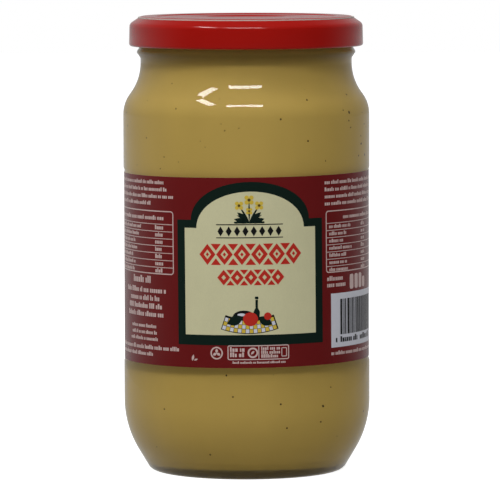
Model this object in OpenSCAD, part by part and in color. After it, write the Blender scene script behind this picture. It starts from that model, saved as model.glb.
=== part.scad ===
// Grocery jar of mustard: a round glass jar with a twist-off metal lid and a paper wrap label.
// The axis is Z, the jar stands on z = 0, and the middle of the label faces -Y.

/* [Jar body] */
// Diameter of the body's straight wall
body_d = 90.2; // [86:0.2:130]
// Height of the glass, from the table to the sealing rim
jar_h = 165.3; // [125:0.1:240]
// Thickness of the glass wall
glass_t = 2.9; // [2:0.1:3.5]
// Rise of the lower curve's centre, where the straight wall starts
lower_rise = 26.2; // [22:0.1:36]
// Radius of the long curve under the straight wall
lower_arc = 35.8; // [20:0.2:42]
// How far the lower curve turns in, from upright
lower_turn = 31; // [15:1:40]
// Radius of the rounded heel
heel_arc = 3.8; // [3:0.1:7]

/* [Base] */
// Width of the flat ring that the jar stands on
stand_w = 1.6; // [1:0.1:3]
// Radius of the edge inside the standing ring
stand_arc = 3; // [1:0.5:6]
// Rise of the push-up under the middle of the base
punt_rise = 2.6; // [1:0.1:6]
// Thickness of the glass in the middle of the base
base_t = 4.4; // [2:0.1:6]
// Height of the cavity's lowest ring above the table
floor_z = 4.6; // [2:0.1:6]
// Radius inside the heel
inner_heel_arc = 5; // [3:0.1:8]

/* [Shoulder and neck] */
// Diameter of the neck below the bead
neck_d = 77.4; // [60:0.2:80]
// Length from the sealing rim down to where the neck starts
neck_len = 15.7; // [14:0.1:25]
// Radius of the rounded shoulder
shoulder_arc = 12.5; // [6:0.5:14]
// Radius of the hollow curve between shoulder and neck
neck_arc = 18.5; // [8:0.1:20]
// How far the shoulder turns in from upright, at most
shoulder_turn = 36; // [25:1:50]

/* [Finish under the lid] */
// How far the finish stands out past the neck
finish_out = 0.5; // [0.2:0.1:2]
// How far the bead stands out past the finish
bead_out = 0.75; // [0.3:0.05:1.5]
// Drop from the sealing rim to the middle of the bead
bead_drop = 11.8; // [10.8:0.1:13]
// Radius of the bead's crest
bead_arc = 1; // [0.4:0.1:1.5]
// Slope of the bead's two sides, from upright
bead_slope = 33; // [25:1:60]
// Radius of the sealing rim's two edges
rim_arc = 0.8; // [0.3:0.1:1]
// Number of thread leads on the finish, and of lugs in the lid
lead_n = 6; // [3:1:8]
// How far a thread lead stands out past the finish
lead_out = 1.7; // [0.8:0.1:2]
// Height of a thread lead at its root
lead_h = 2.2; // [1.5:0.1:3]
// Angle that one thread lead spans
lead_angle = 40; // [15:1:44]

/* [Lid] */
// Height of the lid
lid_h = 10.9; // [8:0.1:11]
// Thickness of the lid's sheet
sheet_t = 0.3; // [0.2:0.05:0.5]
// Thickness of the sealing compound between the sheet and the rim
liner_t = 1; // [0.5:0.1:1.5]
// Width of the band of sealing compound
liner_w = 4; // [3:0.1:5]
// Gap between the thread leads and the lid's skirt
skirt_gap = 1.6; // [0.5:0.1:3]
// How far the skirt closes in from its lower edge to its top
skirt_draft = 0.15; // [0:0.05:0.5]
// Radius of the curl along the skirt's lower edge
curl_r = 0.9; // [0.5:0.1:1.2]
// Drop of the lid's sloping edge, from level
edge_slope = 34; // [20:1:45]
// Width that the sloping edge and its two roundings take
edge_w = 4.75; // [2.5:0.05:5]
// Radius between the skirt and the sloping edge
skirt_arc = 2; // [0.5:0.1:2]
// Radius between the sloping edge and the flat top
top_arc = 2; // [0.5:0.1:2]
// Width of the raised flat ring around the top
ring_w = 4.3; // [3:0.1:8]
// Depth of the sunk panel inside that ring
panel_drop = 0.35; // [0.3:0.05:1]
// Radius of the two bends between ring and panel
panel_arc = 0.7; // [0.4:0.1:1.2]
// Diameter of the safety button in the middle
button_d = 29; // [15:1:40]
// Drop of the safety button below the panel
button_drop = 0.15; // [0.1:0.05:0.6]
// Angle that one lug spans
lug_angle = 9; // [5:1:14]
// Height of a lug
lug_h = 1.3; // [0.8:0.1:1.6]
// Gap between a lug and the finish beside it
lug_gap = 0.4; // [0.2:0.1:0.8]
// Gap between a lug and the thread lead over it
lug_play = 0.1; // [0.05:0.05:0.4]

/* [Label] */
// Length from the lower curve up to the label's sunk panel
panel_low = 14.3; // [5:0.1:30]
// Length from the label's sunk panel up to the shoulder
panel_high = 19.4; // [5:0.1:30]
// Depth of the label's sunk panel
panel_sink = 0.32; // [0.25:0.01:0.6]
// Height of the slope at each end of the label's panel
panel_blend = 0.6; // [0.3:0.1:2]
// Width of bare panel above and below the label
label_margin = 1.2; // [1:0.1:5]
// Thickness of the label's paper
label_t = 0.12; // [0.08:0.01:0.2]
// How far the label leans, its right side high
label_lean = 0.45; // [0:0.05:0.6]
// Width of the overlap where the label's ends meet at the back
label_lap = 8; // [4:1:20]

/* [Mustard] */
// Headspace from the mustard up to the sealing rim
headspace = 8.3; // [3:0.1:14]

/* [Hidden] */
$fn = 144;
arc_steps = 10;

body_r = body_d / 2;
neck_r = neck_d / 2;
finish_r = neck_r + finish_out;
lead_r = finish_r + lead_out;

// Body: the lower curve's centre, the heel's centre and the straight wall's two ends
lower_x = body_r - lower_arc;
heel_x = lower_x + (lower_arc - heel_arc) * cos(lower_turn)
    - (lower_rise - heel_arc - (lower_arc - heel_arc) * sin(lower_turn)) * tan(lower_turn);
stand_r = heel_x - stand_w;
neck_z = jar_h - neck_len;
// The shoulder's two arcs turn no further than the step from neck to body leaves room for
bend_r = shoulder_arc + neck_arc;
bend_a = min(shoulder_turn, acos(max(0, 1 - (body_r - neck_r) / bend_r)));
shoulder_straight = (body_r - neck_r - bend_r * (1 - cos(bend_a))) / sin(bend_a);
shoulder_z = neck_z - bend_r * sin(bend_a) - shoulder_straight * cos(bend_a);

// Cavity: the inner heel is tangent to the wall's inner face and to the floor
inner_heel_z = floor_z + inner_heel_arc;
inner_heel_x = lower_x + (lower_arc - glass_t - inner_heel_arc) * cos(lower_turn)
    - (lower_rise - inner_heel_z - (lower_arc - glass_t - inner_heel_arc) * sin(lower_turn))
    * tan(lower_turn);
mouth_r = neck_r - glass_t;
fill_z = jar_h - headspace;

// Lid: its sheet lies on the compound, which lies on the rim
lid_top = jar_h + liner_t + sheet_t;
lid_z = lid_top - lid_h;
skirt_r = lead_r + skirt_gap + sheet_t;
skirt_top_r = skirt_r - skirt_draft;
land_r = skirt_top_r - edge_w;
land_in = land_r - ring_w;
lug_z = lid_z + curl_r - lug_h / 2;
lead_z = lug_z + lug_h + lug_play;
rim_mid = (finish_r + mouth_r) / 2;

// Label panel and label
panel_z0 = lower_rise + panel_low;
panel_z1 = shoulder_z - panel_high;
label_r = body_r - panel_sink;
label_h = panel_z1 - panel_z0 - 2 * label_margin;
label_mid = (panel_z0 + panel_z1) / 2;

// Points along a circle's arc, from angle a0 to a1
function arc(x, z, r, a0, a1) =
    [for (i = [0:arc_steps]) let (a = a0 + (a1 - a0) * i / arc_steps) [x + r * cos(a), z + r * sin(a)]];

function reversed(points) = [for (i = [len(points) - 1:-1:0]) points[i]];

// A floor seen in section: a dome of height mid_z at the axis that runs out into an edge of
// radius edge_r, whose lowest point is at (edge_x, edge_z)
function floor_turn(edge_x, rise) = 2 * atan(rise / edge_x);
function floor_line(edge_x, edge_z, edge_r, mid_z) =
    let (turn = floor_turn(edge_x, mid_z - edge_z), dome_r = edge_x / sin(turn) - edge_r)
    concat(
        arc(0, mid_z - dome_r, dome_r, 90, 90 - turn),
        arc(edge_x, edge_z + edge_r, edge_r, -90 - turn, -90));

// The wall's section, from the heel to the neck, a distance t inside the outer face
function lower_line(t) = arc(lower_x, lower_rise, lower_arc - t, -lower_turn, 0);
function shoulder_line(t) = concat(
    arc(body_r - shoulder_arc, shoulder_z, shoulder_arc - t, 0, bend_a),
    arc(neck_r + neck_arc, neck_z, neck_arc + t, 180 + bend_a, 180));

// The cavity's section, from the middle of its floor to the start of the neck
function cavity_line() = concat(
    floor_line(inner_heel_x, floor_z, inner_heel_arc, punt_rise + base_t),
    arc(inner_heel_x, inner_heel_z, inner_heel_arc, -90, -lower_turn),
    lower_line(glass_t),
    shoulder_line(glass_t));

// The bead: a rounded crest between two slopes that run into the neck and the finish
function bead_line() =
    let (
        crest_x = finish_r + bead_out - bead_arc,
        crest_z = jar_h - bead_drop,
        end_x = crest_x + bead_arc * cos(bead_slope),
        end_dz = bead_arc * sin(bead_slope))
    concat(
        [[neck_r, crest_z - end_dz - (end_x - neck_r) / tan(bead_slope)]],
        arc(crest_x, crest_z, bead_arc, -bead_slope, bead_slope),
        [[finish_r, crest_z + end_dz + (end_x - finish_r) / tan(bead_slope)]]);

function label_panel_line() = [
    [body_r, panel_z0],
    [label_r, panel_z0 + panel_blend],
    [label_r, panel_z1 - panel_blend],
    [body_r, panel_z1]];

function glass_line() = concat(
    floor_line(stand_r, 0, stand_arc, punt_rise),
    arc(heel_x, heel_arc, heel_arc, -90, -lower_turn),
    lower_line(0),
    label_panel_line(),
    shoulder_line(0),
    bead_line(),
    arc(finish_r - rim_arc, jar_h - rim_arc, rim_arc, 0, 90),
    arc(mouth_r + rim_arc, jar_h - rim_arc, rim_arc, 90, 180),
    reversed(cavity_line()));

// One of a ring of short pieces of the given section, each centred on its own angle
module around(n, angle) {
    for (i = [0:n - 1])
        rotate([0, 0, i * 360 / n - angle / 2])
            rotate_extrude(angle = angle) children();
}

module thread_lead_section() {
    root = finish_r - glass_t / 4;
    polygon([
        [root, lead_z],
        [lead_r, lead_z],
        [lead_r, lead_z + lead_h / 3],
        [root, lead_z + lead_h]]);
}

module jar_glass() {
    color([0.80, 0.86, 0.76, 0.45]) {
        rotate_extrude() polygon(glass_line());
        around(lead_n, lead_angle) thread_lead_section();
    }
}

// The lid's sheet in section, from the axis out and down, a distance t inside its outer face
function lid_sheet_line(t) =
    let (
        slope_n = 90 - edge_slope,
        run = skirt_top_r - skirt_arc * (1 - cos(slope_n)) - land_r - top_arc * cos(slope_n),
        skirt_arc_z = lid_top - top_arc * (1 - sin(slope_n)) - run * tan(edge_slope)
            - skirt_arc * sin(slope_n),
        bend = acos(1 - panel_drop / (2 * panel_arc)),
        bend_w = panel_arc * sin(bend))
    concat(
        [[0, lid_top - panel_drop - button_drop - t],
         [button_d / 2 - button_drop, lid_top - panel_drop - button_drop - t],
         [button_d / 2, lid_top - panel_drop - t]],
        arc(land_in - 2 * bend_w, lid_top - panel_drop + panel_arc, panel_arc + t, -90, -90 + bend),
        arc(land_in, lid_top - panel_arc, panel_arc - t, 90 + bend, 90),
        arc(land_r, lid_top - top_arc, top_arc - t, 90, slope_n),
        arc(skirt_top_r - skirt_arc, skirt_arc_z, skirt_arc - t, slope_n, 0));

// The curl: the sheet's lower edge rolled inwards to a round bead
module lid_section() {
    polygon(concat(
        lid_sheet_line(0),
        arc(skirt_r - curl_r, lid_z + curl_r, curl_r, 0, -270),
        [[skirt_r - sheet_t, lid_z + 2 * curl_r]],
        reversed(lid_sheet_line(sheet_t))));
    // The sealing compound fills up to the sheet's middle
    intersection() {
        translate([rim_mid - liner_w / 2, jar_h]) square([liner_w, liner_t + sheet_t]);
        polygon(concat(lid_sheet_line(sheet_t / 2), [[skirt_top_r - sheet_t / 2, lid_z], [0, lid_z]]));
    }
}

module lug_section() {
    translate([finish_r + lug_gap, lug_z])
        square([skirt_r - curl_r - finish_r - lug_gap, lug_h]);
}

module lid() {
    color([0.56, 0.09, 0.07]) {
        rotate_extrude() lid_section();
        around(lead_n, lug_angle) lug_section();
    }
}

module mustard() {
    color([0.75, 0.62, 0.27])
        rotate_extrude() polygon(concat(cavity_line(), [[mouth_r, fill_z], [0, fill_z]]));
}

module label() {
    lap_angle = label_lap / label_r * 180 / PI;
    color([0.42, 0.07, 0.08]) translate([0, 0, label_mid]) intersection() {
        union() {
            difference() {
                cylinder(r = label_r + label_t, h = 2 * label_h, center = true);
                cylinder(r = label_r, h = 3 * label_h, center = true);
            }
            rotate([0, 0, 90 - lap_angle / 2])
                rotate_extrude(angle = lap_angle)
                    translate([label_r + label_t / 2, -label_h])
                        square([label_t * 3 / 2, 2 * label_h]);
        }
        rotate([0, -label_lean, 0]) cube([2 * body_d, 2 * body_d, label_h], center = true);
    }
}

jar_glass();
lid();
mustard();
label();
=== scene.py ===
"""The looks of a shut grocery jar of mustard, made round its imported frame.

Sections and layouts are worked out in millimetres and turned to metres as each mesh is made.
"""

import math
import random

import bmesh
import bpy
from mathutils import Matrix, Vector


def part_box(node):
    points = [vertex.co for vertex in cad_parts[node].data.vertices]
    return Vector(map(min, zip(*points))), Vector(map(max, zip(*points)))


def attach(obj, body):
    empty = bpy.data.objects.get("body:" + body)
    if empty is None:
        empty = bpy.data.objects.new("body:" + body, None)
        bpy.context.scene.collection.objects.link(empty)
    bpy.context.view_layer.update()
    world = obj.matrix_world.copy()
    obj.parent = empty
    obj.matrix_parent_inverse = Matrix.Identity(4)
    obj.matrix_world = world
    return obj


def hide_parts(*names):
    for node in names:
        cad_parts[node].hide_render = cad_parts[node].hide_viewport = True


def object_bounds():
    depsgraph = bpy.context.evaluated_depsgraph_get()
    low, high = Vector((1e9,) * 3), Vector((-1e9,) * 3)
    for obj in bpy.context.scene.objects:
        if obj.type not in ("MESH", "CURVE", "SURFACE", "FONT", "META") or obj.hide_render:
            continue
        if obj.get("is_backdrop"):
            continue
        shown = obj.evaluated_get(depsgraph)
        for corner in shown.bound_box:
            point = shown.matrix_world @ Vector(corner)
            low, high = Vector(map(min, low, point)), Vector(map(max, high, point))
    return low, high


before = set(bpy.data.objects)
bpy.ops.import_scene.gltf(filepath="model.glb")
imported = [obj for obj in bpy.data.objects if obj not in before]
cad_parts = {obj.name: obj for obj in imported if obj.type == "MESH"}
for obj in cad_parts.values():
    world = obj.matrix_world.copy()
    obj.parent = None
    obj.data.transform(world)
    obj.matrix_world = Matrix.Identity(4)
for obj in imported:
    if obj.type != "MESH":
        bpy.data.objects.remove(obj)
cad_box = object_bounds()

MM = 0.001
MERGE = 1e-3 * MM  # points nearer than this are one
COLUMNS = 180  # facets round the jar: paper and print share them, so that no layer sinks
ARC_STEPS = 10

# ---------------------------------------------------------------- sizes taken from the frame
glass_low, glass_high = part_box("jar_glass")
lid_low, lid_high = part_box("lid")
label_low, label_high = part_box("label")
body_r = glass_high.x / MM
rim_z = glass_high.z / MM
lid_top = lid_high.z / MM
skirt_r = lid_high.x / MM

# ---------------------------------------------------------------- sizes of the glass
GLASS_T = 2.9
LOWER_RISE = 26.2
LOWER_ARC = 35.8
LOWER_TURN = 31
HEEL_ARC = 3.8
STAND_W = 1.6
STAND_ARC = 3
PUNT_RISE = 2.6
BASE_T = 4.4
FLOOR_Z = 4.6
INNER_HEEL_ARC = 5
NECK_R = 38.7
NECK_LEN = 15.7
SHOULDER_ARC = 12.5
NECK_ARC = 18.5
SHOULDER_TURN = 36
FINISH_OUT = 0.5
BEAD_OUT = 0.75
BEAD_DROP = 11.8
BEAD_ARC = 1
BEAD_SLOPE = 33
RIM_ARC = 0.8
LEADS = 6
LEAD_OUT = 1.7
LEAD_H = 2.2
LEAD_ANGLE = 40

# ---------------------------------------------------------------- sizes of the lid
LID_H = 10.9
SHEET_T = 0.3
LINER_W = 4
SKIRT_DRAFT = 0.15
CURL_R = 0.9
EDGE_SLOPE = 34
EDGE_W = 4.75
SKIRT_ARC = 2
TOP_ARC = 2
RING_W = 4.3
PANEL_DROP = 0.35
PANEL_ARC = 0.7
BUTTON_R = 14.5
BUTTON_DROP = 0.15
LUG_ANGLE = 9
LUG_H = 1.3
LUG_GAP = 0.4
LUG_PLAY = 0.1

# ---------------------------------------------------------------- sizes of the label and the fill
PANEL_LOW = 14.3
PANEL_HIGH = 19.4
PANEL_SINK = 0.32
PANEL_BLEND = 0.6
LABEL_MARGIN = 1.2
PAPER_T = 0.12
LABEL_LEAN = math.radians(0.45)
LABEL_LAP = 8
INK_T = 0.02
HEADSPACE = 8.3
FILL_REACH = 0.15  # how far the mustard reaches into the glass, so that no air gap shows

# ---------------------------------------------------------------- places worked out from them
finish_r = NECK_R + FINISH_OUT
mouth_r = NECK_R - GLASS_T
lower_x = body_r - LOWER_ARC
neck_z = rim_z - NECK_LEN
fill_z = rim_z - HEADSPACE
bend = math.radians(SHOULDER_TURN)
shoulder_straight = (body_r - NECK_R - (SHOULDER_ARC + NECK_ARC) * (1 - math.cos(bend))) / math.sin(bend)
shoulder_z = neck_z - (SHOULDER_ARC + NECK_ARC) * math.sin(bend) - shoulder_straight * math.cos(bend)
panel_z0 = LOWER_RISE + PANEL_LOW
panel_z1 = shoulder_z - PANEL_HIGH
label_h = panel_z1 - panel_z0 - 2 * LABEL_MARGIN
label_z0 = panel_z0 + LABEL_MARGIN
paper_r = body_r - PANEL_SINK + PAPER_T
lid_z = lid_top - LID_H


# ================================================================ sections

def arc(x, z, r, start, end, steps=ARC_STEPS):
    """Points along a circle's arc, between two angles in degrees."""
    turns = [math.radians(start + (end - start) * i / steps) for i in range(steps + 1)]
    return [(x + r * math.cos(a), z + r * math.sin(a)) for a in turns]


def heel_centre(inset, arc_r, z):
    """Where a heel's arc sits so that it runs on from the tapered wall, inset from the outer face."""
    turn = math.radians(LOWER_TURN)
    reach = LOWER_ARC - inset - arc_r
    return lower_x + reach * math.cos(turn) - (LOWER_RISE - z - reach * math.sin(turn)) * math.tan(turn)


def floor_line(edge_x, edge_z, edge_r, mid_z, grow=0.0):
    """A floor from its middle out: a dome that turns into an edge, drawn grow lower."""
    turn = 2 * math.atan((mid_z - edge_z) / edge_x)
    dome_r = edge_x / math.sin(turn) - edge_r
    turn = math.degrees(turn)
    dome = arc(0, mid_z - dome_r, dome_r - grow, 90, 90 - turn)
    return dome + arc(edge_x, edge_z + edge_r, edge_r + grow, -90 - turn, -90)


def lower_line(inset):
    return arc(lower_x, LOWER_RISE, LOWER_ARC - inset, -LOWER_TURN, 0, 2 * ARC_STEPS)


def shoulder_line(inset):
    outer = arc(body_r - SHOULDER_ARC, shoulder_z, SHOULDER_ARC - inset, 0, SHOULDER_TURN)
    return outer + arc(NECK_R + NECK_ARC, neck_z, NECK_ARC + inset, 180 + SHOULDER_TURN, 180)


def cavity_line(grow=0.0):
    """The cavity from the middle of its floor to the neck, drawn grow larger."""
    heel_x = heel_centre(GLASS_T, INNER_HEEL_ARC, FLOOR_Z + INNER_HEEL_ARC)
    return (
        floor_line(heel_x, FLOOR_Z, INNER_HEEL_ARC, PUNT_RISE + BASE_T, grow)
        + arc(heel_x, FLOOR_Z + INNER_HEEL_ARC, INNER_HEEL_ARC + grow, -90, -LOWER_TURN)
        + lower_line(GLASS_T - grow)
        + shoulder_line(GLASS_T - grow)
    )


def bead_line():
    """The bead under the lid: a rounded crest between two slopes."""
    slope = math.radians(BEAD_SLOPE)
    crest_x = finish_r + BEAD_OUT - BEAD_ARC
    crest_z = rim_z - BEAD_DROP
    end_x = crest_x + BEAD_ARC * math.cos(slope)
    end_z = BEAD_ARC * math.sin(slope)
    foot = (NECK_R, crest_z - end_z - (end_x - NECK_R) / math.tan(slope))
    top = (finish_r, crest_z + end_z + (end_x - finish_r) / math.tan(slope))
    return [foot] + arc(crest_x, crest_z, BEAD_ARC, -BEAD_SLOPE, BEAD_SLOPE) + [top]


def glass_line():
    heel_x = heel_centre(0, HEEL_ARC, HEEL_ARC)
    sunk_r = body_r - PANEL_SINK
    panel = [
        (body_r, panel_z0),
        (sunk_r, panel_z0 + PANEL_BLEND),
        (sunk_r, panel_z1 - PANEL_BLEND),
        (body_r, panel_z1),
    ]
    return (
        floor_line(heel_x - STAND_W, 0, STAND_ARC, PUNT_RISE)
        + arc(heel_x, HEEL_ARC, HEEL_ARC, -90, -LOWER_TURN)
        + lower_line(0)
        + panel
        + shoulder_line(0)
        + bead_line()
        + arc(finish_r - RIM_ARC, rim_z - RIM_ARC, RIM_ARC, 0, 90)
        + arc(mouth_r + RIM_ARC, rim_z - RIM_ARC, RIM_ARC, 90, 180)
        + cavity_line()[::-1]
    )


def lid_sheet_line(inset):
    """The lid's sheet from its middle out and down, inset from its outer face."""
    top_r = skirt_r - SKIRT_DRAFT
    land_r = top_r - EDGE_W
    land_in = land_r - RING_W
    normal = 90 - EDGE_SLOPE
    away = math.radians(normal)
    run = top_r - SKIRT_ARC * (1 - math.cos(away)) - land_r - TOP_ARC * math.cos(away)
    skirt_z = lid_top - TOP_ARC * (1 - math.sin(away)) - run * math.tan(math.radians(EDGE_SLOPE))
    skirt_z -= SKIRT_ARC * math.sin(away)
    turn = math.degrees(math.acos(1 - PANEL_DROP / (2 * PANEL_ARC)))
    bend_w = PANEL_ARC * math.sin(math.radians(turn))
    panel_z = lid_top - PANEL_DROP
    middle = [
        (0, panel_z - BUTTON_DROP - inset),
        (BUTTON_R - BUTTON_DROP, panel_z - BUTTON_DROP - inset),
        (BUTTON_R, panel_z - inset),
    ]
    return (
        middle
        + arc(land_in - 2 * bend_w, panel_z + PANEL_ARC, PANEL_ARC + inset, -90, -90 + turn)
        + arc(land_in, lid_top - PANEL_ARC, PANEL_ARC - inset, 90 + turn, 90)
        + arc(land_r, lid_top - TOP_ARC, TOP_ARC - inset, 90, normal)
        + arc(top_r - SKIRT_ARC, skirt_z, SKIRT_ARC - inset, normal, 0)
    )


def lid_line():
    curl = arc(skirt_r - CURL_R, lid_z + CURL_R, CURL_R, 0, -270, 2 * ARC_STEPS)
    skirt_in = [(skirt_r - SHEET_T, lid_z + 2 * CURL_R)]
    return lid_sheet_line(0) + curl + skirt_in + lid_sheet_line(SHEET_T)[::-1]


# ================================================================ making meshes

def piece(name, bm, materials, smooth=True, stands_for=None):
    """Turns a bmesh into an object on the root body, with its materials, and hides the frame's part that it
    stands for.
    """
    mesh = bpy.data.meshes.new(name)
    bm.to_mesh(mesh)
    bm.free()
    for polygon in mesh.polygons:
        polygon.use_smooth = smooth
    made = bpy.data.objects.new(name, mesh)
    bpy.context.scene.collection.objects.link(made)
    for material in materials:
        mesh.materials.append(material)
    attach(made, "root")
    if stands_for:
        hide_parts(stands_for)
    return made


def spin_section(bm, section, angle=360.0, start=0.0, closed=False):
    """Spins a section round the jar's axis. A section that starts and ends on the axis needs no closing."""
    verts = []
    for x, z in section:
        place = Vector((x * MM, 0, z * MM))
        if not verts or (verts[-1].co - place).length > MERGE:
            verts.append(bm.verts.new(place))
    if closed and (verts[0].co - verts[-1].co).length < MERGE:
        bm.verts.remove(verts.pop())
    pairs = zip(verts, verts[1:] + verts[:1] if closed else verts[1:])
    edges = [bm.edges.new(pair) for pair in pairs]
    whole = angle == 360.0
    turn = Matrix.Rotation(math.radians(start), 3, "Z")
    bmesh.ops.rotate(bm, cent=(0, 0, 0), matrix=turn, verts=verts)
    if not whole:
        bm.faces.new(verts)
    steps = max(1, round(COLUMNS * angle / 360))
    geom = verts + edges if whole else verts + edges + [verts[0].link_faces[0]]
    bmesh.ops.spin(bm, geom=geom, cent=(0, 0, 0), axis=(0, 0, 1), angle=math.radians(angle),
                   steps=steps, use_merge=whole, use_duplicate=False)


def finish_mesh(bm):
    bmesh.ops.remove_doubles(bm, verts=bm.verts, dist=MERGE)
    bmesh.ops.recalc_face_normals(bm, faces=bm.faces)
    return bm


def spun(section, closed=False):
    bm = bmesh.new()
    spin_section(bm, section, closed=closed)
    return finish_mesh(bm)


def around(section, count, angle):
    """A ring of short pieces of one section, each centred on its own angle."""
    bm = bmesh.new()
    for i in range(count):
        own = bmesh.new()
        spin_section(own, section, angle, i * 360 / count - angle / 2, closed=True)
        join(bm, finish_mesh(own))
    return bm


def join(bm, other):
    """Adds another bmesh's geometry to this one."""
    carrier = bpy.data.meshes.new("carrier")
    other.to_mesh(carrier)
    other.free()
    bm.from_mesh(carrier)
    bpy.data.meshes.remove(carrier)


# ================================================================ materials

class Wire:
    """A shader socket that takes part in Python sums: each sum adds its Math node."""

    def __init__(self, finish, socket):
        self.finish = finish
        self.socket = socket

    def math(self, operation, *values):
        return self.finish.add("ShaderNodeMath", {"operation": operation}, dict(enumerate(values)))

    def __add__(self, other):
        return self.math("ADD", self, other)

    def __radd__(self, other):
        return self.math("ADD", other, self)

    def __sub__(self, other):
        return self.math("SUBTRACT", self, other)

    def __rsub__(self, other):
        return self.math("SUBTRACT", other, self)

    def __mul__(self, other):
        return self.math("MULTIPLY", self, other)

    def __rmul__(self, other):
        return self.math("MULTIPLY", other, self)


class Finish:
    """A material and its node tree."""

    def __init__(self, name):
        self.material = bpy.data.materials.new(name)
        self.material.use_nodes = True
        self.tree = self.material.node_tree
        self.tree.nodes.clear()
        self.place = self.add("ShaderNodeTexCoord", out="Object")

    def add(self, kind, settings=None, inputs=None, out=0):
        """Adds a node: its settings first, then its sockets' values or links."""
        node = self.tree.nodes.new(kind)
        for key, value in (settings or {}).items():
            if key == "stops":
                self.set_stops(node.color_ramp, value)
            else:
                setattr(node, key, value)
        for key, value in (inputs or {}).items():
            if isinstance(value, Wire):
                self.tree.links.new(value.socket, node.inputs[key])
            else:
                node.inputs[key].default_value = value
        return Wire(self, node.outputs[out]) if len(node.outputs) else None

    def set_stops(self, ramp, stops):
        while len(ramp.elements) < len(stops):
            ramp.elements.new(1)
        for element, (position, colour) in zip(ramp.elements, stops):
            element.position = position
            element.color = (*colour, 1)

    def noise(self, scale, detail=3, roughness=0.5, stretch=(1, 1, 1)):
        place = self.add("ShaderNodeMapping", None, {"Vector": self.place, "Scale": stretch})
        values = {"Vector": place, "Scale": scale, "Detail": detail, "Roughness": roughness}
        return self.add("ShaderNodeTexNoise", None, values)

    def mix(self, factor, a, b):
        """Mixes two colours."""
        settings = {"data_type": "RGBA", "clamp_factor": True}
        return self.add("ShaderNodeMix", settings, {0: factor, 6: a, 7: b}, 2)

    def bump(self, height, strength, distance):
        values = {"Height": height, "Strength": strength, "Distance": distance}
        return self.add("ShaderNodeBump", None, values)

    def principled(self, **values):
        names = {key.replace("_", " "): value for key, value in values.items()}
        return self.add("ShaderNodeBsdfPrincipled", None, names)

    def output(self, surface):
        self.add("ShaderNodeOutputMaterial", None, {"Surface": surface})
        return self.material


def rgba(colour):
    return (*colour, 1)


def shade(colour, by):
    return rgba([min(1, c * by) for c in colour])


def glass_finish():
    """Clear container glass, faintly green, with the slow waves of a blown wall."""
    f = Finish("clear_glass")
    waves = f.noise(28, 2, 0.4)
    glass = f.principled(
        Base_Color=(0.93, 0.965, 0.915, 1), Roughness=0.02, IOR=1.5, Transmission_Weight=1.0,
        Normal=f.bump(waves, 0.12, 0.002))
    open_glass = f.add("ShaderNodeBsdfTransparent", None, {"Color": (0.94, 0.96, 0.93, 1)})
    lamp = f.add("ShaderNodeLightPath", out="Is Shadow Ray")
    soft = f.add("ShaderNodeLightPath", out="Is Diffuse Ray")
    passing = lamp.math("MAXIMUM", lamp, soft)
    return f.output(f.add("ShaderNodeMixShader", None, {0: passing, 1: glass, 2: open_glass}))


def mustard_finish():
    """Smooth mustard: soft swirls and faint upright streaks, with a fine grain."""
    f = Finish("mustard_paste")
    colour = (0.645, 0.425, 0.108)
    swirl = f.noise(38, 3, 0.55)
    streak = f.noise(90, 2, 0.5, (1, 1, 0.12))
    grain = f.noise(1400, 2, 0.6)
    blend = swirl * 0.55 + streak * 0.35 + grain * 0.10
    base = f.mix(blend, shade(colour, 0.86), shade(colour, 1.12))
    return f.output(f.principled(
        Base_Color=base, Roughness=0.55, Specular_IOR_Level=0.15,
        Normal=f.bump(grain, 0.1, 0.0002)))


def lacquer_finish():
    """Red lacquer on tinplate, with a faint orange-peel surface."""
    f = Finish("red_lacquer")
    colour = (0.47, 0.0085, 0.005)
    cloud = f.noise(60, 3, 0.5)
    peel = f.noise(900, 2, 0.5)
    base = f.mix(cloud, shade(colour, 0.94), shade(colour, 1.06))
    return f.output(f.principled(
        Base_Color=base, Roughness=0.14 + 0.05 * cloud, Specular_IOR_Level=0.5,
        Coat_Weight=0.2, Coat_Roughness=0.04, Normal=f.bump(peel, 0.05, 0.0001)))


def printed_finish(name, colour, roughness=0.2):
    """Coated paper in one printed colour, with its fibres and a slightly uneven ink."""
    f = Finish(name)
    fibre = f.noise(2600, 3, 0.6, (1, 1, 0.5))
    cloud = f.noise(120, 2, 0.5)
    blend = 0.6 * fibre + 0.4 * cloud
    base = f.mix(blend, shade(colour, 0.90), shade(colour, 1.10))
    return f.output(f.principled(
        Base_Color=base, Roughness=roughness + 0.1 * cloud, Specular_IOR_Level=0.4,
        Normal=f.bump(fibre, 0.08, 0.00008)))


def plain_finish(name, colour, roughness, specular=0.5):
    f = Finish(name)
    cloud = f.noise(400, 3, 0.6)
    base = f.mix(cloud, shade(colour, 0.92), shade(colour, 1.08))
    return f.output(f.principled(Base_Color=base, Roughness=roughness, Specular_IOR_Level=specular))


# ================================================================ glass, mustard, lid

clear_glass = glass_finish()
piece("glass_jar", spun(glass_line()), [clear_glass], stands_for="jar_glass")

lug_z = lid_z + CURL_R - LUG_H / 2
lead_z = lug_z + LUG_H + LUG_PLAY
root_r = finish_r - GLASS_T / 4
lead_r = finish_r + LEAD_OUT
lead_section = [
    (root_r, lead_z), (lead_r, lead_z), (lead_r, lead_z + LEAD_H / 3), (root_r, lead_z + LEAD_H)]
piece("glass_thread", around(lead_section, LEADS, LEAD_ANGLE), [clear_glass], smooth=False)

fill_line = cavity_line(FILL_REACH) + [(mouth_r + FILL_REACH, fill_z), (0, fill_z)]
piece("mustard_fill", spun(fill_line), [mustard_finish()], stands_for="mustard")

# ---------------------------------------------------------------- husk flecks against the glass
FLECKS = 110
FLECK_OUT = 0.08  # how far a fleck stands out of the mustard, into the glass
FLECK_SIZES = (0.2, 0.3, 0.4, 0.6)
FLECK_LOW = 8  # the lowest that a fleck lies
FLECK_DOWN = 14  # how far under the mustard's level the highest lies
FLOOR_R = 30  # within this radius the fill's section is floor, which has no flecks


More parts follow.
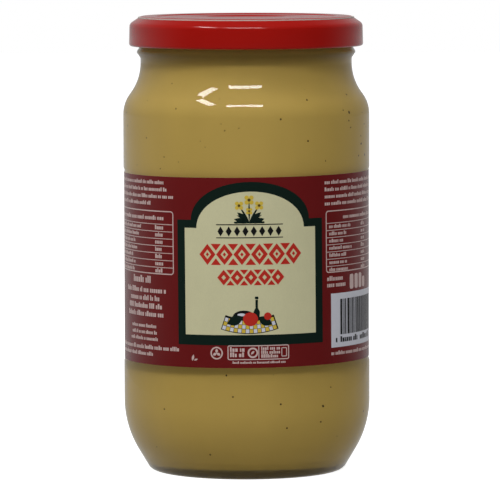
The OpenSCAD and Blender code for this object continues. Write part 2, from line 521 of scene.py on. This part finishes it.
def fleck_places(rng):
    """Places along the fill's section that show above and below the label, with their outward lean."""
    fill = [point for point in fill_line if point[0] > FLOOR_R]
    for i in range(FLECKS):
        low, high = (FLECK_LOW, panel_z0) if i % 3 == 0 else (panel_z1, fill_z - FLECK_DOWN)
        z = rng.uniform(low, high)
        for (x0, z0), (x1, z1) in zip(fill, fill[1:]):
            if z0 <= z < z1:
                yield x0 + (x1 - x0) * (z - z0) / (z1 - z0), z, math.atan2(x1 - x0, z1 - z0)
                break


def husk_flecks():
    rng = random.Random(5)
    bm = bmesh.new()
    for x, z, lean in fleck_places(rng):
        size = rng.choice(FLECK_SIZES)
        place = Matrix.Rotation(rng.uniform(0, 2 * math.pi), 4, "Z") @ Matrix.Translation((x, 0, z))
        turn = Matrix.Rotation(lean, 4, "Y") @ Matrix.Rotation(rng.uniform(0, math.pi), 4, "X")
        squash = Matrix.Diagonal((FLECK_OUT, size, size * rng.uniform(0.6, 1), 1))
        scale = Matrix.Scale(MM, 4)
        bmesh.ops.create_icosphere(bm, subdivisions=1, radius=1, matrix=scale @ place @ turn @ squash)
    return bm


husk = plain_finish("husk", (0.075, 0.045, 0.012), 0.6, 0.2)
piece("husk_flecks", husk_flecks(), [husk], smooth=False)

# ---------------------------------------------------------------- lid
lacquer = lacquer_finish()
piece("lid_shell", spun(lid_line()), [lacquer], stands_for="lid")
lug_in = finish_r + LUG_GAP
lug_out = skirt_r - CURL_R
lug_section = [(lug_in, lug_z), (lug_out, lug_z), (lug_out, lug_z + LUG_H), (lug_in, lug_z + LUG_H)]
piece("lid_lugs", around(lug_section, LEADS, LUG_ANGLE), [lacquer], smooth=False)
rim_mid = (finish_r + mouth_r) / 2
liner_in, liner_out = rim_mid - LINER_W / 2, rim_mid + LINER_W / 2
liner_top = lid_top - SHEET_T
liner_section = [(liner_in, rim_z), (liner_out, rim_z), (liner_out, liner_top), (liner_in, liner_top)]
compound = plain_finish("sealing_compound", (0.72, 0.70, 0.64), 0.6)
piece("lid_compound", spun(liner_section, closed=True), [compound], smooth=False)


# ================================================================ label

def wrap(bm, lift):
    """Wraps a flat layer, in millimetres with its thickness along Z, round the jar."""
    for vert in bm.verts:
        u, v, out = vert.co
        r = paper_r + lift + out
        turn = u / paper_r
        x = r * math.sin(turn)
        z = label_z0 + v + x * math.tan(LABEL_LEAN)
        vert.co = Vector((x, -r * math.cos(turn), z)) * MM


def cut_columns(bm):
    """Cuts a flat layer at each of the jar's facets, so that it bends with them."""
    pitch = 2 * math.pi * paper_r / COLUMNS
    us = [vert.co.x for vert in bm.verts]
    first = math.floor(min(us) / pitch) + 1
    for i in range(first, math.ceil(max(us) / pitch)):
        geom = bm.verts[:] + bm.edges[:] + bm.faces[:]
        bmesh.ops.bisect_plane(bm, geom=geom, dist=1e-5, plane_co=(i * pitch, 0, 0), plane_no=(1, 0, 0))


def thicken(bm, thickness):
    """Gives a flat layer its thickness, upwards."""
    made = bmesh.ops.extrude_face_region(bm, geom=bm.faces[:], use_keep_orig=True)
    raised = [g for g in made["geom"] if isinstance(g, bmesh.types.BMVert)]
    bmesh.ops.translate(bm, verts=raised, vec=(0, 0, thickness))
    bmesh.ops.recalc_face_normals(bm, faces=bm.faces)


def label_paper():
    """The paper: a tube with a lap strip over its two ends, at the back."""
    bm = bmesh.new()
    length = 2 * math.pi * paper_r
    lap_columns = round(COLUMNS * LABEL_LAP / length)
    for columns, start, lift in ((COLUMNS, -length / 2, -PAPER_T), (lap_columns, length / 2, 0)):
        sheet = bmesh.new()
        wide = length * columns / COLUMNS
        bmesh.ops.create_grid(sheet, x_segments=columns, y_segments=1, size=0.5)
        bmesh.ops.scale(sheet, vec=(wide, label_h, 1), verts=sheet.verts)
        middle = start + wide / 2 if lift else start
        bmesh.ops.translate(sheet, vec=(middle, label_h / 2, 0), verts=sheet.verts)
        thicken(sheet, PAPER_T)
        for face in sheet.faces:
            face.material_index = 1 if abs(face.normal.z) < 0.5 else 0
        wrap(sheet, lift)
        join(bm, sheet)
    bmesh.ops.remove_doubles(bm, verts=bm.verts, dist=MERGE)
    return bm


class Print:
    """Flat shapes of one ink, in millimetres: u right of the label's middle, v above its lower edge."""

    def __init__(self, name, ink, layer):
        self.name = name
        self.ink = ink
        self.layer = layer
        self.bm = bmesh.new()

    def ring(self, points):
        return [self.bm.verts.new((u, v, 0)) for u, v in points]

    def shape(self, points):
        """Fills an outline."""
        face = self.bm.faces.new(self.ring(points))
        face.normal_update()
        bmesh.ops.triangulate(self.bm, faces=[face], ngon_method="EAR_CLIP")

    def block(self, u0, v0, u1, v1):
        self.bm.faces.new(self.ring([(u0, v0), (u1, v0), (u1, v1), (u0, v1)]))

    def disc(self, u, v, r, squash=1.0):
        made = bmesh.ops.create_circle(self.bm, cap_ends=True, radius=r, segments=20)["verts"]
        bmesh.ops.scale(self.bm, vec=(1, squash, 1), verts=made)
        bmesh.ops.translate(self.bm, vec=(u, v, 0), verts=made)

    def band(self, outer, inner):
        """Fills between two closed outlines."""
        edges = []
        for points in (outer, inner):
            ring = self.ring(points)
            edges += [self.bm.edges.new(pair) for pair in zip(ring, ring[1:] + ring[:1])]
        bmesh.ops.bridge_loops(self.bm, edges=edges)

    def leaf(self, u, v, length, width, turn, steps=6):
        """A pointed oval that grows from (u, v) in the direction turn, in degrees."""
        along = (math.cos(math.radians(turn)), math.sin(math.radians(turn)))
        sides = []
        for side in (1, -1):
            for i in range(steps):
                t = (i if side > 0 else steps - i) / steps
                out = side * width / 2 * math.sin(math.pi * t)
                sides.append((u + t * length * along[0] - out * along[1],
                              v + t * length * along[1] + out * along[0]))
        self.shape(sides)

    def words(self, rng, u0, u1, v, tall=0.95):
        """A row of small print: words of plain blocks, some of them taller."""
        u = u0
        while u < u1:
            for _ in range(rng.randint(2, 9)):
                wide = tall * rng.uniform(0.4, 0.75)
                high = tall * rng.choice((1, 1, 1, 1.4))
                if u + wide > u1:
                    return
                self.block(u, v - tall / 2, u + wide, v - tall / 2 + high)
                u += wide + 0.2 * tall
            u += 0.5 * tall

    def lay(self):
        """Lays the ink on the leaning paper, over the layers under it."""
        lean = Matrix.Shear("XZ", 4, (-math.tan(LABEL_LEAN), 0))
        middle = Matrix.Translation((0, label_h / 2, 0))
        bmesh.ops.transform(self.bm, matrix=middle @ lean @ middle.inverted(), verts=self.bm.verts)
        cut_columns(self.bm)
        thicken(self.bm, INK_T)
        wrap(self.bm, self.layer * INK_T)
        piece(self.name, self.bm, [self.ink], smooth=False)


def rounded(u0, v0, u1, v1, r, steps=4):
    """A rectangle's outline with round corners."""
    corners = [(u1 - r, v0 + r, -90), (u1 - r, v1 - r, 0), (u0 + r, v1 - r, 90), (u0 + r, v0 + r, 180)]
    return [point for u, v, a in corners for point in arc(u, v, r, a, a + 90, steps)]


def outlined(ink, u0, v0, u1, v1, r, line):
    """A rounded box drawn as a line."""
    ink.band(rounded(u0, v0, u1, v1, r), rounded(u0 + line, v0 + line, u1 - line, v1 - line, r - line))


def round_outline(u, v, r, steps=24):
    return arc(u, v, r, 0, 360, steps)[:-1]


def lozenge(u, v, wide, tall):
    return [(u + wide / 2, v), (u, v + tall / 2), (u - wide / 2, v), (u, v - tall / 2)]


# The frame and its panel: a box's half width, lower and upper edge, and the half width and top
# of an arch on it
FRAME_MID = 1.5
FRAME_BOX = (27.7, 8.2, 53.2, 22.1, 66.9)
PANEL_BOX = (24.6, 11.9, 50.3, 19.9, 63.4)


def arched_box(half, low, high, arch_half, arch_top, steps=28):
    turns = [math.pi * i / steps for i in range(steps + 1)]
    rise = arch_top - high
    arch = [(FRAME_MID + arch_half * math.cos(a), high + rise * math.sin(a)) for a in turns]
    left, right = FRAME_MID - half, FRAME_MID + half
    return [(left, low), (right, low), (right, high)] + arch + [(left, high)]


# Columns of small print beside the frame: their outer end, and where the tables end
BLOCK_END = 68
ROW_PITCH = 2.6
TABLE_LOW = 33
TABLE_HIGH = 56
LINE_W = 0.38


def small_print_left(ink, rng):
    """Rows, a ruled table and centred rows, left of the frame."""
    for i, end in enumerate((-32.2, -30.5, -27.6, -38.3)):
        ink.words(rng, -BLOCK_END, end, 66.1 - 2.55 * i, 1.0)
    table_end = -28.0
    outlined(ink, -BLOCK_END, TABLE_LOW, table_end, TABLE_HIGH, 1.2, LINE_W)
    ink.words(rng, 2 - BLOCK_END, -32.5, 53.2, 1.1)
    for i in range(7):
        rule = 51 - ROW_PITCH * i
        ink.block(LINE_W - BLOCK_END, rule, table_end - LINE_W, rule + 0.25)
        ink.words(rng, 2 - BLOCK_END, rng.uniform(-52, -45), rule - 1.2)
        ink.words(rng, -37, -32.8, rule - 1.2, 1.1)
    middle = -44.9
    ink.words(rng, middle - 6.8, middle + 6.6, 30.5, 1.8)
    for i, half in enumerate((13.4, 9.8, 11.2, 12)):
        ink.words(rng, middle - half, middle + half, 26.8 - 2.9 * i, 1.35)
    for i, half in enumerate((8.5, 8.3, 9.5)):
        ink.words(rng, middle - half, middle + half, 13.8 - 2.3 * i, 0.95)
    ink.words(rng, -BLOCK_END, -25.4, 6.1, 1.1)
    ink.words(rng, -BLOCK_END, -38.8, 3.7, 1.0)


def small_print_right(ink, rng):
    """Rows, a ruled table and the pack's size marks, right of the frame."""
    start = 31
    for i in range(4):
        ink.words(rng, start - 0.4, BLOCK_END - 3 * rng.random(), 65.6 - 2.55 * i, 1.0)
    outlined(ink, start, TABLE_LOW, BLOCK_END, TABLE_HIGH - 0.5, 1.2, LINE_W)
    ink.words(rng, 40, BLOCK_END - 3, 52.8, 1.0)
    for i in range(7):
        rule = 50.8 - ROW_PITCH * i
        ink.block(start + LINE_W, rule, BLOCK_END - LINE_W, rule + 0.25)
        ink.words(rng, start + 1.6, rng.uniform(39, 47), rule - 1.2)
        ink.words(rng, 53, 57, rule - 1.2, 1.0)
    ink.words(rng, start + 0.5, 40.5, 30.7, 1.2)
    ink.words(rng, start + 0.5, 41.3, 28.4, 1.2)
    for i, tall in enumerate((5.4, 5.4, 5.4, 3.9)):
        ink.shape(rounded(44 + 3.4 * i, 26.4, 46.6 + 3.4 * i, 26.4 + tall, 0.8))
    ink.words(rng, 33.3, BLOCK_END, 3.6, 1.0)


def foot_marks(ink, rng):
    """Small plain marks in the middle of the label's foot."""
    ink.band(round_outline(-11.2, 5.4, 2.3), round_outline(-11.2, 5.4, 1.8))
    for turn in (90, 210, 330):
        ink.leaf(-11.2, 5.4, 1.6, 1.0, turn)
    outlined(ink, -7.2, 2.9, 15.2, 8.2, 0.7, 0.35)
    ink.block(3.9, 3.25, 4.2, 7.85)
    ink.band(round_outline(1.9, 5.5, 1.9), round_outline(1.9, 5.5, 1.3))
    ink.leaf(1.2, 4.9, 1.8, 0.8, 45)
    for v in (6.5, 4.6):
        ink.words(rng, -6.3, -0.4, v, 1.2)
    for v in (6.9, 5.5, 4.1):
        ink.words(rng, 4.9, 11.8, v, 0.9)
    outlined(ink, 12.3, 3.9, 14.4, 7.2, 0.4, 0.3)
    ink.words(rng, -5.4, 13.9, 1.9, 0.6)
    ink.leaf(-20.6, 2.4, 2.4, 0.9, 75)
    ink.leaf(-19.9, 2.6, 1.6, 0.6, 20)


CODE_BOX = (33.3, 5.8, 67, 25.4)


def code_bars(ink, rng):
    """A plain field of bars, with a row of blocks under it."""
    u, end = 38.1, 64
    while u < end:
        wide = rng.choice((0.35, 0.7, 1.05, 1.4))
        ink.block(u, 10.3, u + wide, 23.2)
        u += wide + rng.choice((0.35, 0.35, 0.7))
    for start in (38.1, 51.6):
        ink.words(rng, start, start + 11.5, 8.3, 1.5)
    ink.block(35.6, 7.6, 36.4, 9.2)


def sprig(flowers, hearts, leaves):
    """The emblem: a sprig of mustard in flower."""
    foot = (1.1, 52.6)
    for turn, reach in ((90, 7.4), (122, 6.6), (58, 6.6), (152, 5.2), (28, 5.2)):
        leaves.leaf(*foot, reach, 0.7, turn)
    for turn in (168, 12, 140, 40):
        leaves.leaf(foot[0], foot[1] - 0.2, 5.6, 2.0, turn)
    leaves.shape(rounded(-4.4, 52.0, 6.6, 52.7, 0.3))
    for u, v, r in ((1.1, 60.4, 1.9), (-2.5, 58.4, 1.7), (4.7, 58.4, 1.7), (1.1, 56.4, 1.35)):
        for i in range(4):
            turn = math.radians(45 + 90 * i)
            flowers.disc(u + 0.62 * r * math.cos(turn), v + 0.62 * r * math.sin(turn), 0.42 * r)
        hearts.disc(u, v, 0.3 * r)


def beaded_band(ink):
    """Two fine rules with a row of lozenges between them."""
    for v in (46.7, 51.4):
        ink.block(-10.9, v, 13.3, v + 0.35)
    for i in range(8):
        ink.shape(lozenge(-9.3 + 3.0 * i, 49.2, 2.2, 3.6))


def frieze(ink, mid, pitch, count, tall, core):
    """A row of pierced lozenges, with small triangles in the gaps above and below."""
    for i in range(count):
        u = FRAME_MID + pitch * (i - (count - 1) / 2)
        wide = pitch * 0.96
        ink.band(lozenge(u, mid, wide, tall), lozenge(u, mid, wide * core, tall * core))
        if core > 0.4:
            ink.shape(lozenge(u, mid, wide * core * 0.45, tall * core * 0.45))
        if i:
            gap = u - pitch / 2
            for side in (1, -1):
                far = mid + side * tall / 2
                reach = 0.3 * pitch
                ink.shape([(gap - reach, far), (gap + reach, far), (gap, far - side * 0.32 * tall)])


CLOTH_MID = (0.9, 45)
CLOTH_TURN = 18


def cloth_patch(radius, deep, start, turn, steps=4):
    """A patch of the table cloth, between two arcs round the cloth's far centre."""
    near = arc(*CLOTH_MID, radius, start, start + turn, steps)
    return near + arc(*CLOTH_MID, radius - deep, start + turn, start, steps)


def still_life(inks):
    """A checked cloth with a bowl, two tomatoes, leaves and a cruet."""
    dark, yellow, white, red, green = inks
    start = -90 - CLOTH_TURN
    dark.shape(cloth_patch(32.7, 5.4, start - 0.6, 2 * CLOTH_TURN + 1.2, 24))
    columns, deep = 14, 1.5
    turn = 2 * CLOTH_TURN / columns
    for row in range(3):
        for i in range(columns):
            ink = yellow if (row + i) % 2 else white
            ink.shape(cloth_patch(32.4 - row * deep, deep - 0.15, start + i * turn, turn - 0.3))
    green.leaf(-7.2, 15.9, 6.4, 3.6, 24)
    green.leaf(8.9, 15.5, 5.6, 3.4, 150)
    dark.shape(arc(-1.2, 18.4, 3.9, 180, 360, 16))
    dark.disc(-1.2, 18.6, 3.9, 0.55)
    white.disc(-2.0, 19.2, 1.5, 0.35)
    green.shape([
        (2.6, 17), (2.3, 20.2), (3.0, 21.6), (3.0, 24.6),
        (3.9, 24.6), (3.9, 21.6), (4.6, 20.2), (4.3, 17)])
    green.shape(rounded(2.8, 24.8, 4.1, 25.7, 0.3))
    red.disc(1.2, 17.6, 2.7, 0.93)
    red.disc(7.4, 18.6, 1.35)


def lay_print():
    rng = random.Random(11)
    paper_green = printed_finish("ink_green", (0.0075, 0.0205, 0.0150))
    paper_cream = printed_finish("ink_cream", (0.77, 0.74, 0.46))
    ink_pale = printed_finish("ink_pale", (0.74, 0.56, 0.53))
    ink_white = printed_finish("ink_white", (0.78, 0.79, 0.87))
    ink_black = printed_finish("ink_black", (0.012, 0.012, 0.013))
    ink_red = printed_finish("ink_red", (0.62, 0.030, 0.018))
    ink_yellow = printed_finish("ink_yellow", (0.80, 0.58, 0.07))
    ink_olive = printed_finish("ink_olive", (0.13, 0.085, 0.02))
    border = Print("print_frame", paper_green, 0)
    border.shape(arched_box(*FRAME_BOX))
    panel = Print("print_panel", paper_cream, 1)
    panel.shape(arched_box(*PANEL_BOX))
    pale = Print("print_small", ink_pale, 0)
    small_print_left(pale, rng)
    small_print_right(pale, rng)
    foot_marks(pale, rng)
    field = Print("print_code_field", ink_white, 0)
    field.block(*CODE_BOX)
    black = Print("print_black", ink_black, 2)
    code_bars(black, rng)
    beaded_band(black)
    title = Print("print_frieze", ink_red, 2)
    frieze(title, 40.9, 6.3, 6, 7.6, 0.46)
    frieze(title, 32.6, 4.9, 5, 5.6, 0.34)
    leaves = Print("print_leaves", paper_green, 2)
    flowers = Print("print_flowers", ink_yellow, 3)
    hearts = Print("print_hearts", ink_olive, 4)
    sprig(flowers, hearts, leaves)
    white = Print("print_checks_white", ink_white, 3)
    red = Print("print_tomatoes", ink_red, 5)
    green = Print("print_cruet", paper_green, 4)
    still_life((black, flowers, white, red, green))
    for ink in (border, panel, pale, field, black, title, leaves, flowers, hearts, white, green, red):
        ink.lay()


paper_red = printed_finish("paper_red", (0.185, 0.0105, 0.0110))
paper_core = printed_finish("paper_core", (0.62, 0.58, 0.50), 0.7)
piece("label_wrap", label_paper(), [paper_red, paper_core], smooth=False,
      stands_for="label")
lay_print()


# ================================================================ stage, lights, camera

# Light from round the jar: the dark room in front, the pale wall behind, and the ceiling
ROOM = 0.02
WALL = 0.52
FADE = (-0.45, 1.15)  # where the room fades into the wall, along a direction's depth
WALL_TURN = math.radians(10)
WALL_TOP = (0.3, 0.85)  # where the wall fades out, along a direction's height
WALL_TOP_SHARE = 0.1  # how much of it is left above that
CEILING = 1.15
CEILING_LOW = 0.3  # the height of a direction at which the ceiling starts

# The floor: as it lights the jar, and as the camera sees it
FLOOR_DIM = (0.48, 0.48, 0.48, 1)
FLOOR_SEEN = (0.85, 0.85, 0.85, 1)
FLOOR_GLOW = 0.8
FLOOR_HALF = 4

VIEW_DEG = 4.467
VIEW_FAR = 1.7515
VIEW_MID = 0.083
AIM = Vector((0.00123, 0, 0.08062))
ROLL = -0.0027
LENS = 343.4
LAMP_AIM = Vector((0, 0, 0.09))
LAMP_FAR = 1.3


def aimed(made, place, aim, roll=0.0):
    turn = (aim - place).to_track_quat("-Z", "Y").to_matrix().to_4x4()
    made.matrix_world = Matrix.Translation(place) @ turn @ Matrix.Rotation(roll, 4, "Z")


def add_camera():
    data = bpy.data.cameras.new("camera")
    data.lens = LENS
    made = bpy.data.objects.new("camera", data)
    bpy.context.scene.collection.objects.link(made)
    tilt = math.radians(VIEW_DEG)
    place = Vector((0, -VIEW_FAR * math.cos(tilt), VIEW_MID + VIEW_FAR * math.sin(tilt)))
    aimed(made, place, AIM, ROLL)
    bpy.context.scene.camera = made


def softbox(name, azimuth, elevation, wide, tall, radiance, roll=0):
    """A rectangular soft light, seen from the jar under the given angles in degrees."""
    data = bpy.data.lights.new(name, "AREA")
    data.shape = "RECTANGLE"
    data.size = 2 * LAMP_FAR * math.tan(math.radians(wide / 2))
    data.size_y = 2 * LAMP_FAR * math.tan(math.radians(tall / 2))
    data.energy = math.pi * radiance * data.size * data.size_y
    made = bpy.data.objects.new(name, data)
    bpy.context.scene.collection.objects.link(made)
    a, e = math.radians(azimuth), math.radians(elevation)
    away = Vector((math.sin(a) * math.cos(e), -math.cos(a) * math.cos(e), math.sin(e)))
    aimed(made, LAMP_AIM + away * LAMP_FAR, LAMP_AIM, math.radians(roll))


def add_world():
    """White to look at. On the jar, a white wall behind it, a dark room in front of it, and light
    from above that reflections don't show."""
    world = bpy.data.worlds.new("studio")
    bpy.context.scene.world = world
    world.use_nodes = True
    tree = world.node_tree
    tree.nodes.clear()

    def add(kind, **inputs):
        node = tree.nodes.new(kind)
        for name, value in inputs.items():
            node.inputs[name.replace("_", " ")].default_value = value
        return node

    def maths(operation):
        node = add("ShaderNodeMath")
        node.operation = operation
        return node

    way = add("ShaderNodeTexCoord")
    turned = add("ShaderNodeVectorRotate", Angle=-WALL_TURN)
    turned.rotation_type = "Z_AXIS"
    parts = add("ShaderNodeSeparateXYZ")
    behind = add("ShaderNodeMapRange", From_Min=FADE[0], From_Max=FADE[1], To_Min=ROOM, To_Max=WALL)
    behind.interpolation_type = "SMOOTHSTEP"
    low = add("ShaderNodeMapRange", From_Min=WALL_TOP[0], From_Max=WALL_TOP[1], To_Min=1,
              To_Max=WALL_TOP_SHARE)
    above = add("ShaderNodeMapRange", From_Min=CEILING_LOW, From_Max=1, To_Min=0, To_Max=CEILING)
    unmirrored = maths("SUBTRACT")
    unmirrored.inputs[0].default_value = 1
    wall = maths("MULTIPLY")
    roof = maths("MULTIPLY")
    both = maths("MAXIMUM")
    lit = add("ShaderNodeBackground")
    seen = add("ShaderNodeBackground", Color=(1, 1, 1, 1))
    path = add("ShaderNodeLightPath")
    mix = add("ShaderNodeMixShader")
    out = add("ShaderNodeOutputWorld")
    for start, end in (
            (way.outputs["Generated"], turned.inputs[0]),
            (turned.outputs[0], parts.inputs[0]),
            (parts.outputs["Y"], behind.inputs[0]),
            (parts.outputs["Z"], low.inputs[0]),
            (parts.outputs["Z"], above.inputs[0]),
            (path.outputs["Is Glossy Ray"], unmirrored.inputs[1]),
            (behind.outputs[0], wall.inputs[0]),
            (low.outputs[0], wall.inputs[1]),
            (above.outputs[0], roof.inputs[0]),
            (unmirrored.outputs[0], roof.inputs[1]),
            (wall.outputs[0], both.inputs[0]),
            (roof.outputs[0], both.inputs[1]),
            (both.outputs[0], lit.inputs["Strength"]),
            (path.outputs["Is Camera Ray"], mix.inputs[0]),
            (lit.outputs[0], mix.inputs[1]),
            (seen.outputs[0], mix.inputs[2]),
            (mix.outputs[0], out.inputs["Surface"])):
        tree.links.new(start, end)


def add_floor():
    """A pale floor to look at. Reflections show it as part of the room round the jar."""
    bm = bmesh.new()
    bmesh.ops.create_grid(bm, x_segments=2, y_segments=2, size=FLOOR_HALF)
    mesh = bpy.data.meshes.new("floor")
    bm.to_mesh(mesh)
    bm.free()
    made = bpy.data.objects.new("floor", mesh)
    bpy.context.scene.collection.objects.link(made)
    f = Finish("pale_floor")
    dim = f.add("ShaderNodeBsdfDiffuse", None, {"Color": FLOOR_DIM})
    back = f.add("ShaderNodeNewGeometry", out="Incoming")
    turned = f.add("ShaderNodeVectorRotate", {"rotation_type": "Z_AXIS"}, {0: back, "Angle": -WALL_TURN})
    ahead = f.add("ShaderNodeSeparateXYZ", None, {0: turned}, "Y") * -1
    fade = f.add("ShaderNodeMapRange", {"interpolation_type": "SMOOTHSTEP"},
                 {0: ahead, 1: FADE[0], 2: FADE[1], 3: ROOM, 4: WALL})
    room = f.add("ShaderNodeEmission", None, {"Color": fade})
    matt = f.add("ShaderNodeBsdfDiffuse", None, {"Color": FLOOR_SEEN})
    glow = f.add("ShaderNodeEmission", None, {"Color": (1, 1, 1, 1), "Strength": FLOOR_GLOW})
    pale = f.add("ShaderNodeAddShader", None, {0: matt, 1: glow})
    mirrored = f.add("ShaderNodeLightPath", out="Is Glossy Ray")
    through = f.add("ShaderNodeLightPath", out="Is Transmission Ray")
    camera = f.add("ShaderNodeLightPath", out="Is Camera Ray")
    unseen = f.add("ShaderNodeMixShader", None, {0: mirrored, 1: dim, 2: room})
    seen = camera.math("MAXIMUM", camera, through)
    mesh.materials.append(f.output(f.add("ShaderNodeMixShader", None, {0: seen, 1: unseen, 2: pale})))
    made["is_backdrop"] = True


add_camera()
add_world()
add_floor()
softbox("window_front", azimuth=-1.5, elevation=45, wide=29, tall=6.5, radiance=14)
softbox("window_left", azimuth=-51, elevation=51, wide=22, tall=6.5, radiance=13, roll=-35)
bpy.context.scene.view_settings.view_transform = "Standard"

look_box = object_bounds()
boxes = {"cad": cad_box, "look": look_box}
{name: [list(corner) for corner in box] for name, box in boxes.items()}
